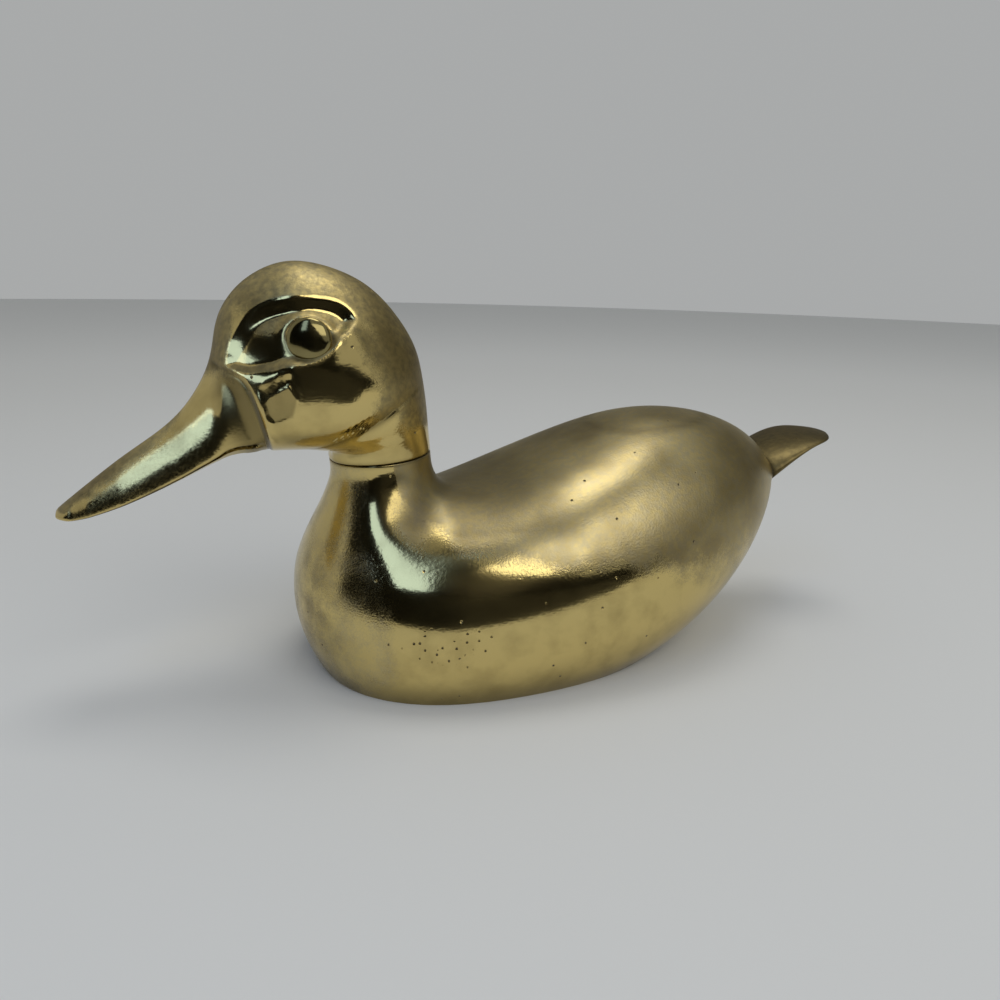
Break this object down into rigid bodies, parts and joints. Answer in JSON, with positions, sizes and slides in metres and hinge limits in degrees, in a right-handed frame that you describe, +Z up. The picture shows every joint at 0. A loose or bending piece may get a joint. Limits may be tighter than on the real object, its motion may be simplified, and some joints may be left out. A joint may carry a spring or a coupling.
{
  "type": "brass duck ornament",
  "caption": "Hollow cast brass duck ornament standing on its open flat base, with a swivelling head on a neck seam, domed eye studs and a set-in tail plate.",
  "frame": {"origin": "on the surface the duck stands on, under the middle of its overall length", "axes": "+X the way the bill points, +Y the duck's left, +Z up"},
  "size_m": [0.2472, 0.0935, 0.1164],
  "materials": {
    "cast_brass": "polished flanks and head, satin and tarnished back",
    "tail_brass": "satin, tarnished",
    "eye_brass": "polished dome",
    "fastener_steel": "plain turned steel"
  },
  "bodies": {
    "body": {"body_casting": "cast_brass", "tail_plate": "tail_brass", "flat_washer": "fastener_steel"},
    "head": {"head_casting": "cast_brass", "left_eye": "eye_brass", "right_eye": "eye_brass", "neck_screw": "fastener_steel", "spring_washer": "fastener_steel"}
  },
  "joints": [
    {"name": "head_turn", "type": "hinge", "parent": "body", "child": "head", "pos_m": [0.04, 0, 0.0634], "axis": [0.0698, 0, 0.9976], "range_deg": [-130, 130]}
  ]
}
